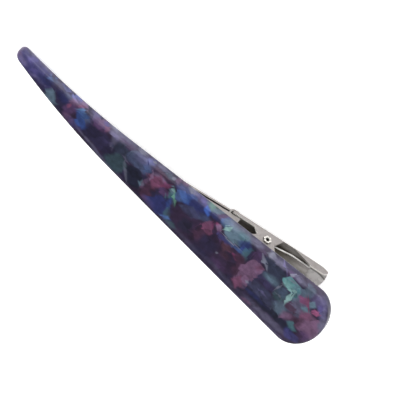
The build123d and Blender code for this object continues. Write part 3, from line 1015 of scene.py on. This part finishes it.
@dataclass
class Plate:
    """The acetate plate, in millimetres of the clip's own frame."""

    place: ClipPlace
    finish: Acetate
    length: float = 119.5
    width: float = 26.0
    tip_width: float = 4.6
    thickness: float = 3.2
    round_end: float = 8.0
    side_bow: float = 0.4
    outer_round: float = 1.0
    inner_round: float = 1.0
    curve_length: float = 42.7
    curve_drop: float = 4.4
    pivot_from_end: float = 29.3
    pivot_drop: float = 6.7
    border_width: float = 2.0
    tip_steps: int = 12
    side_steps: int = 120
    end_steps: int = 32
    round_steps: int = 6
    face_rings: int = 14
    smooth_angle: float = 40.0

    @property
    def tip_x(self) -> float:
        """Where the plate's tip is along the clip."""
        return self.pivot_from_end - self.length

    def _side(self) -> list[Vector]:
        """Half the outline.

        Returns:
            Its points, from the middle of the tip to the middle of the wide end.
        """
        tip, half = self.tip_width / 2, self.width / 2
        tip_centre, end_centre = self.tip_x + tip, self.pivot_from_end - self.round_end
        run = end_centre - tip_centre
        slope, swing = math.atan2(half - tip, run), 4 * self.side_bow / run
        tip_turn, end_turn = slope + swing, slope - swing
        end_angle = math.pi / 2 + math.atan(math.tan(end_turn) * self.round_end / half)
        points = []
        for step in range(self.tip_steps):
            a = math.pi - step / self.tip_steps * (math.pi / 2 - tip_turn)
            points.append(Vector((tip_centre + tip * math.cos(a), tip * math.sin(a))))
        start = Vector((tip_centre - tip * math.sin(tip_turn), tip * math.cos(tip_turn)))
        end_x = end_centre + self.round_end * math.cos(end_angle)
        end = Vector((end_x, half * math.sin(end_angle)))
        reach = (end - start).length
        lead = Vector((math.cos(tip_turn), math.sin(tip_turn))) * reach
        tail = Vector((math.cos(end_turn), math.sin(end_turn))) * reach
        for step in range(self.side_steps):
            t = step / self.side_steps
            points.append(
                (2 * t**3 - 3 * t**2 + 1) * start
                + (t**3 - 2 * t**2 + t) * lead
                + (3 * t**2 - 2 * t**3) * end
                + (t**3 - t**2) * tail
            )
        for step in range(self.end_steps + 1):
            a = end_angle * (1 - step / self.end_steps)
            x = end_centre + self.round_end * math.cos(a)
            points.append(Vector((x, half * math.sin(a))))
        return points

    def _outline(self) -> list[Vector]:
        """The whole outline, once round."""
        side = self._side()
        return side + [Vector((p.x, -p.y)) for p in reversed(side[1:-1])]

    def _level(self, x: float, rise: float) -> float:
        """The height of one of the plate's faces.

        Args:
            x: The place along the clip.
            rise: How far the face lies above the plate's underside.

        Returns:
            The height there, in the clip's own frame.
        """
        curve_start = self.tip_x + self.curve_length
        flat = self.pivot_drop + rise
        if x >= curve_start:
            return flat
        radius = (self.curve_length**2 + self.curve_drop**2) / (2 * self.curve_drop)
        outer = radius + rise
        return self.pivot_drop - radius + math.sqrt(outer**2 - (x - curve_start) ** 2)

    def _rings(self) -> Iterator[tuple[float, float, float, float]]:
        """The rings from the outer face's middle line, over the edge, to the underside's.

        Yields:
            How far the ring's edge lies inside the outline, how far out the ring lies between
            the middle line and that edge (0 to 1), the height of its face above the underside,
            and the ring's own height over that face.
        """
        turns = [step / self.round_steps * math.pi / 2 for step in range(self.round_steps + 1)]
        shares = [step / self.face_rings for step in range(self.face_rings)]
        for share in shares:
            yield self.outer_round, share, self.thickness, 0.0
        for a in turns:
            inset, drop = self.outer_round * (1 - math.sin(a)), self.outer_round * (1 - math.cos(a))
            yield inset, 1.0, self.thickness, -drop
        for a in turns:
            inset, rise = self.inner_round * (1 - math.cos(a)), self.inner_round * (1 - math.sin(a))
            yield inset, 1.0, 0.0, rise
        for share in reversed(shares):
            yield self.inner_round, share, 0.0, 0.0

    def _build(self) -> bpy.types.Mesh:
        """Builds the rounds and the wall in rings, and each face up to its middle line.

        Returns:
            The plate's mesh, not yet dressed.
        """
        outline = self._outline()
        count = len(outline)
        spine_low = self.tip_x + self.tip_width / 2
        spine_high = self.pivot_from_end - self.round_end
        inward = []
        for i, point in enumerate(outline):
            run = (outline[(i + 1) % count] - outline[i - 1]).normalized()
            inward.append(Vector((run.y, -run.x)))
        work = bmesh.new()
        border = work.verts.layers.float.new("border")
        depth = work.verts.layers.float.new("depth")
        rings = []
        for inset, share, face_height, height in self._rings():
            row = []
            for point, way in zip(outline, inward):
                spine = Vector((min(max(point.x, spine_low), spine_high), 0.0))
                spot = spine.lerp(point + way * inset, share)
                level = self._level(spot.x, face_height) + height
                vert = work.verts.new(self.place.point(spot.x, spot.y, level))
                vert[border] = max(0.0, 1 - (point - spot).length / self.border_width)
                vert[depth] = self.thickness - face_height - height
                row.append(vert)
            rings.append(row)
        bridge(work, rings)
        bmesh.ops.remove_doubles(work, verts=work.verts, dist=WELD)
        flat = [face for face in work.faces if face.calc_area() < NO_AREA]
        bmesh.ops.delete(work, geom=flat, context="FACES")
        bmesh.ops.recalc_face_normals(work, faces=work.faces)
        for vert in work.verts:
            for axis, (low, high) in enumerate(zip(*CAD_BOX)):
                vert.co[axis] = min(max(vert.co[axis], low), high)
        return new_mesh(work, "acetate_plate")

    def make(self) -> bpy.types.Object:
        """Builds and dresses the plate.

        Returns:
            The plate.
        """
        mesh = self._build()
        shade(mesh, self.smooth_angle)
        zones = self.finish.zones(self.tip_x, self.pivot_from_end)
        for low, high in zones:
            mesh.materials.append(self.finish.material(self.place, low, high))
        for face in mesh.polygons:
            along = (self.place.along(face.center) - zones[0][0]) / (zones[0][1] - zones[0][0])
            face.material_index = min(max(int(along), 0), len(zones) - 1)
        piece = new_piece("acetate_plate", mesh, Body.UPPER)
        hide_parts("plate")
        return piece


@dataclass
class SheetMetal:
    """A solid pressed or bent from sheet metal, with eased cut edges, near-white partly as bare
    steel and partly as a painted highlight.
    """

    place: ClipPlace
    node: str
    slot: Slot
    skin: bpy.types.Material
    cut: bpy.types.Material
    trough: bpy.types.Material | None = None
    edge_ease: float = 0.07
    edge_segments: int = 2
    edge_angle: float = 40.0
    smooth_angle: float = 35.0
    flat_angle: float = 0.5
    cut_from: float = 0.0
    cut_slope: float = 0.3
    trough_from: float = 1.0
    trough_slope: float = 0.3

    def _is_cut(self, face: bpy.types.MeshPolygon, nearest: float) -> bool:
        """Whether a face, so near the middle plane in millimetres, is a side wall's cut edge."""
        return nearest > self.cut_from and abs(face.normal.y) < self.cut_slope

    def _dress(self, mesh: bpy.types.Mesh) -> None:
        """Gives each face the finish of the skin, the cut edges or the trough's floor.

        Args:
            mesh: The solid's mesh.
        """
        mesh.materials.clear()
        for finish in filter(None, (self.skin, self.cut, self.trough)):
            mesh.materials.append(finish)
        for face in mesh.polygons:
            nearest = min(abs(mesh.vertices[i].co.y) for i in face.vertices) / MM
            behind = self.place.along(face.center) > self.trough_from
            in_trough = self.trough and behind and face.normal.z > self.trough_slope
            face.material_index = 1 if self._is_cut(face, nearest) else 2 * bool(in_trough)

    def _eased(self) -> bpy.types.Object:
        """Copies the solid, eases its edges and dresses it.

        Returns:
            The piece, which rides on no body yet.
        """
        work = bmesh.new()
        work.from_mesh(frame["nodes"][self.node].data)
        bmesh.ops.remove_doubles(work, verts=work.verts, dist=2 * WELD)
        flat = math.radians(self.flat_angle)
        bmesh.ops.dissolve_limit(work, angle_limit=flat, verts=work.verts, edges=work.edges)
        name = self.node + "_metal"
        piece = new_piece(name, new_mesh(work, name), None)
        ease = piece.modifiers.new("eased_edges", "BEVEL")
        ease.width = self.edge_ease * MM
        ease.segments = self.edge_segments
        ease.limit_method = "ANGLE"
        ease.angle_limit = math.radians(self.edge_angle)
        keep_shape(piece)
        shade(piece.data, self.smooth_angle)
        self._dress(piece.data)
        return piece


@dataclass
class PressedArm(SheetMetal):
    """One of the two arms, which are pressed from sheet and stay stiff."""

    body: Body = Body.UPPER

    def make(self) -> bpy.types.Object:
        """Makes the arm and lets it ride on its body.

        Returns:
            The arm.
        """
        piece = self._eased()
        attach(piece, self.body.value)
        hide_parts(self.node)
        return piece


@dataclass
class LeafSpring(SheetMetal):
    """The leaf spring, fixed in the model's frame and riding on neither body."""

    cut_slope: float = 0.2
    bend_reach: float = 1.5

    def _is_cut(self, face: bpy.types.MeshPolygon, nearest: float) -> bool:
        """Whether a face is one of the strip's two long cut edges, rounds included."""
        return nearest > self.cut_from and abs(face.normal.y) > self.cut_slope

    def make(self) -> bpy.types.Object:
        """Makes the spring and fixes its mesh in the model's frame.

        Returns:
            The spring.
        """
        piece = self._eased()
        start = self.place.point(0, 0, -self.bend_reach)
        end = self.place.point(0, 0, self.bend_reach)
        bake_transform(piece)
        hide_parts(self.node)
        return piece


@dataclass
class PivotPin:
    """The hollow pin, whose ends are split and rolled out over the lugs in petals."""

    place: ClipPlace
    material: bpy.types.Material
    seat: float = 5.25
    bore: float = 0.55
    radius: float = 1.0
    rim_radius: float = 1.3
    rim_thickness: float = 0.4
    rim_share: float = 0.6
    throat_round: float = 0.22
    throat_depth: float = 0.3
    flare: float = 0.05
    flare_depth: float = 0.08
    lip_drop: float = 0.1
    petals: int = 6
    petal_gap: float = 0.12
    petal_shift: float = 0.04
    petal_overlap: float = 0.06
    petal_segments: int = 20
    petal_rings: int = 12
    sides: int = 48
    smooth_angle: float = 50.0

    def _tube(self) -> bpy.types.Mesh:
        """Builds the tube along the local Z axis, with the throat of each end rounded.

        Returns:
            The tube's mesh, in metres.
        """
        end = self.seat + self.rim_thickness * self.rim_share
        throat = self.bore + self.throat_round
        # Rows of the radius and the height along the pin.
        profile = [
            (self.bore, end - self.throat_depth),
            (self.bore + self.flare, end - self.flare_depth),
            (throat, end),
            (self.radius, end - self.lip_drop),
            (self.radius, self.seat),
        ]
        rows = profile + [(r, -z) for r, z in reversed(profile)]
        work = bmesh.new()
        rings = []
        for r, z in rows:
            ring = []
            for i in range(self.sides):
                a = 2 * math.pi * i / self.sides
                ring.append(work.verts.new(Vector((r * math.cos(a), r * math.sin(a), z)) * MM))
            rings.append(ring)
        bridge(work, rings + rings[:1])
        bmesh.ops.recalc_face_normals(work, faces=work.faces)
        mesh = new_mesh(work, "pivot_tube")
        shade(mesh, self.smooth_angle)
        return mesh

    def _petal_tree(self) -> GeometryTree:
        """Describes how a ring of petals is rolled out over each end of the tube.

        Returns:
            The node tree that does so.
        """
        kinds = {
            "Petals": "NodeSocketInt",
            "Ring Radius": "NodeSocketFloat",
            "Petal Size": "NodeSocketVector",
            "Seat": "NodeSocketVector",
            "Material": "NodeSocketMaterial",
        }
        tree = GeometryTree("rolled_petals", kinds)
        given = tree.inputs
        circle = {"Vertices": given["Petals"], "Radius": given["Ring Radius"]}
        ring = tree.node("GeometryNodeMeshCircle", None, circle)
        facets = {"Segments": self.petal_segments, "Rings": self.petal_rings, "Radius": 1.0}
        ball = tree.node("GeometryNodeMeshUVSphere", None, facets)
        outward = {"Vector": tree.node("GeometryNodeInputPosition")}
        turned = tree.node("FunctionNodeAlignRotationToVector", {"axis": "X"}, outward)
        sockets = {
            "Points": ring,
            "Instance": ball,
            "Rotation": turned,
            "Scale": given["Petal Size"],
        }
        petals = tree.node("GeometryNodeInstanceOnPoints", None, sockets)
        shading = {"Geometry": tree.node("GeometryNodeRealizeInstances", None, {0: petals})}
        smooth = tree.node("GeometryNodeSetShadeSmooth", None, shading)
        below = tree.vector("MULTIPLY", given["Seat"], (-1.0, -1.0, -1.0))
        ends = [
            tree.node("GeometryNodeTransform", None, {"Geometry": smooth, "Translation": seat})
            for seat in (given["Seat"], below)
        ]
        parts = {"Geometry": [given["Geometry"], *ends]}
        tree.end(tree.node("GeometryNodeJoinGeometry", None, parts), given["Material"])
        return tree

    def make(self) -> bpy.types.Object:
        """Builds the pin and sets it in the lugs.

        Returns:
            The pin.
        """
        piece = new_piece("pivot_pin_rolled", self._tube(), None)
        ring = (self.bore + self.rim_radius) / 2 + self.petal_shift
        across = 2 * ring * math.sin(math.pi / self.petals) - self.petal_gap
        thick = self.rim_thickness / 2
        size = (self.rim_radius - ring, across / 2 + self.petal_overlap, thick)
        values = {
            "Petals": self.petals,
            "Ring Radius": ring * MM,
            "Petal Size": tuple(v * MM for v in size),
            "Seat": (0.0, 0.0, (self.seat + thick) * MM),
            "Material": self.material,
        }
        self._petal_tree().apply(piece, values)
        turn = Matrix.Rotation(math.radians(-90), 4, "X")
        piece.data.transform(Matrix.Translation(self.place.pivot) @ turn)
        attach(piece, Body.UPPER.value)
        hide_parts("pivot_pin")
        return piece


@dataclass(frozen=True)
class SoftBox:
    """A soft square light that faces the clip, its side in metres and its power in watts."""

    name: str
    spot: tuple[float, float, float]
    size: float
    power: float

    def make(self) -> None:
        """Adds the light."""
        lamp = bpy.data.lights.new(self.name, "AREA")
        lamp.shape = "SQUARE"
        lamp.size = self.size
        lamp.energy = self.power
        piece = add_object(self.name, lamp)
        piece.location = self.spot
        piece.rotation_mode = "QUATERNION"
        piece.rotation_quaternion = (-Vector(self.spot)).to_track_quat("-Z", "Y")


SOFT_BOXES = (
    SoftBox("overhead_box", (0.1, 0.25, 1.2), 1.0, 5.6),
    SoftBox("side_box", (0.25, 0.85, 0.9), 0.45, 5.0),
    SoftBox("far_box", (0.4, -0.63, 0.5), 0.6, 0.8),
    SoftBox("low_box", (-0.45, 0.85, 0.27), 0.5, 3.5),
)


@dataclass
class Studio:
    """The pale floor, the soft lights and the camera.

    The camera's distance and pixel are in millimetres, its nearest and farthest in metres.
    """

    place: ClipPlace
    pixel: float = 0.29
    picture: float = 400.0
    pivot_right: float = 59.2
    pivot_down: float = 48.8
    tilt: float = 48.0
    roll: float = 41.6
    distance: float = 1500.0
    sensor: float = 36.0
    nearest: float = 0.01
    farthest: float = 10.0
    floor_reach: float = 1.5
    far_glow: float = 0.22
    near_glow: float = 0.9
    glow_from: float = -0.8
    glow_to: float = 0.4

    def floor(self) -> None:
        """The floor that the clip stands on."""
        mesh = bpy.data.meshes.new("floor")
        r = self.floor_reach
        corners = [(-r, -r, 0), (r, -r, 0), (r, r, 0), (-r, r, 0)]
        mesh.from_pydata(corners, [], [(0, 1, 2, 3)])
        mesh.materials.append(Paper().material())
        piece = add_object("floor", mesh)

    def glow(self) -> None:
        """The world's glow, dimmer on the far side, which the plate's face mirrors."""
        world = bpy.data.worlds.new("studio_glow")
        world.use_nodes = True
        world.node_tree.nodes.clear()
        tree = NodeTree(world.node_tree)
        way = tree.node("ShaderNodeTexCoord", output="Generated")
        near = way.axis("Y").ramp(self.glow_from, self.glow_to)
        strength = self.far_glow + (self.near_glow - self.far_glow) * near
        shader = tree.node("ShaderNodeBackground", None, {"Strength": strength})
        tree.end_in("ShaderNodeOutputWorld", "Surface", shader)
        bpy.context.scene.world = world

    def lights(self) -> None:
        """The world's glow and the soft boxes."""
        self.glow()
        bpy.context.scene.view_settings.view_transform = "Standard"
        for box in SOFT_BOXES:
            box.make()

    def camera(self) -> None:
        """The camera, at the angle and distance at which the clip fills the picture."""
        tilt, roll = math.radians(self.tilt), math.radians(self.roll)
        back = self.place.direction(0, math.sin(tilt), math.cos(tilt))
        across = self.place.direction(0, math.cos(tilt), -math.sin(tilt))
        along = self.place.direction(1, 0, 0)
        right = math.cos(roll) * along + math.sin(roll) * across
        up = -math.sin(roll) * along + math.cos(roll) * across
        step = self.pixel * MM
        centre = self.place.pivot - right * self.pivot_right * step + up * self.pivot_down * step
        lens = bpy.data.cameras.new("camera")
        lens.sensor_width = self.sensor
        lens.lens = self.sensor * self.distance / (self.picture * self.pixel)
        lens.clip_start, lens.clip_end = self.nearest, self.farthest
        camera = add_object("camera", lens)
        turn = Matrix((right, up, back)).transposed()
        camera.matrix_world = Matrix.Translation(centre + back * self.distance * MM) @ turn.to_4x4()
        bpy.context.scene.camera = camera

    def make(self) -> None:
        """Sets up the floor, the lights and the camera."""
        self.camera()
        self.floor()
        self.lights()


METALS = (
    PlatedMetal("nickel_plated_sheet"),
    # Near-white cut edges: partly bright bare steel, partly a painted highlight.
    PlatedMetal("cut_edge_painted_highlight", colour=(0.92, 0.89, 0.83), metallic=0.1, roughness=0.35),
    # Near-white spring edge: partly bright bare steel, partly a painted highlight.
    PlatedMetal("bright_edge_painted_highlight", colour=(1.0, 0.99, 0.97), metallic=0.1, roughness=0.4),
    PlatedMetal("bright_pin", colour=(0.66, 0.64, 0.6), roughness=0.14),
    # Painted shade: the strip is darker towards the pivot, as in the plate's shadow.
    PaintedShadeMetal(
        "spring_strip_painted_shade", colour=(0.52, 0.49, 0.465), painted_shade=(0.12, 0.105, 0.082), metallic=0.8
    ),
    # Painted shade: the trough is darker towards the pivot, as in the plate's shadow, lighter
    # towards the side wall, with a painted dark reflection streak.
    PaintedShadeMetal(
        "satin_trough_painted_shade",
        colour=(0.92, 0.9, 0.87),
        metallic=0.2,
        roughness=0.45,
        shade_until=12.0,
        bright_from=16.5,
        streak_depth=0.8,
        lift=0.25,
    ),
)


def main() -> None:
    """Builds the clip piece by piece and reports each one."""
    logging.basicConfig(level=logging.INFO, format="%(name)s: %(message)s")
    place = ClipPlace.from_frame()
    LOG.info("the clip stands at a pitch of %.3f degrees", math.degrees(place.pitch))
    Studio(place).make()
    metal = {finish.name: finish.material(place) for finish in METALS}
    sheet = (Slot.PLATED_STEEL, metal["nickel_plated_sheet"], metal["cut_edge_painted_highlight"])
    trough = metal["satin_trough_painted_shade"]
    leaf = (Slot.SPRING_STEEL, metal["spring_strip_painted_shade"], metal["bright_edge_painted_highlight"])
    assemblies = (
        Plate(place, Acetate()),
        PressedArm(place, "upper_arm", *sheet, cut_from=4.55, body=Body.UPPER),
        PressedArm(place, "lower_arm", *sheet, trough, cut_from=3.85, body=Body.LOWER),
        LeafSpring(place, "spring", *leaf, edge_ease=0.1, cut_from=1.55),
        PivotPin(place, metal["bright_pin"]),
    )
    for assembly in assemblies:
        piece = assembly.make()
        LOG.info("%s: %d faces", piece.name, len(piece.data.polygons))


if __name__ == "__main__":
    main()
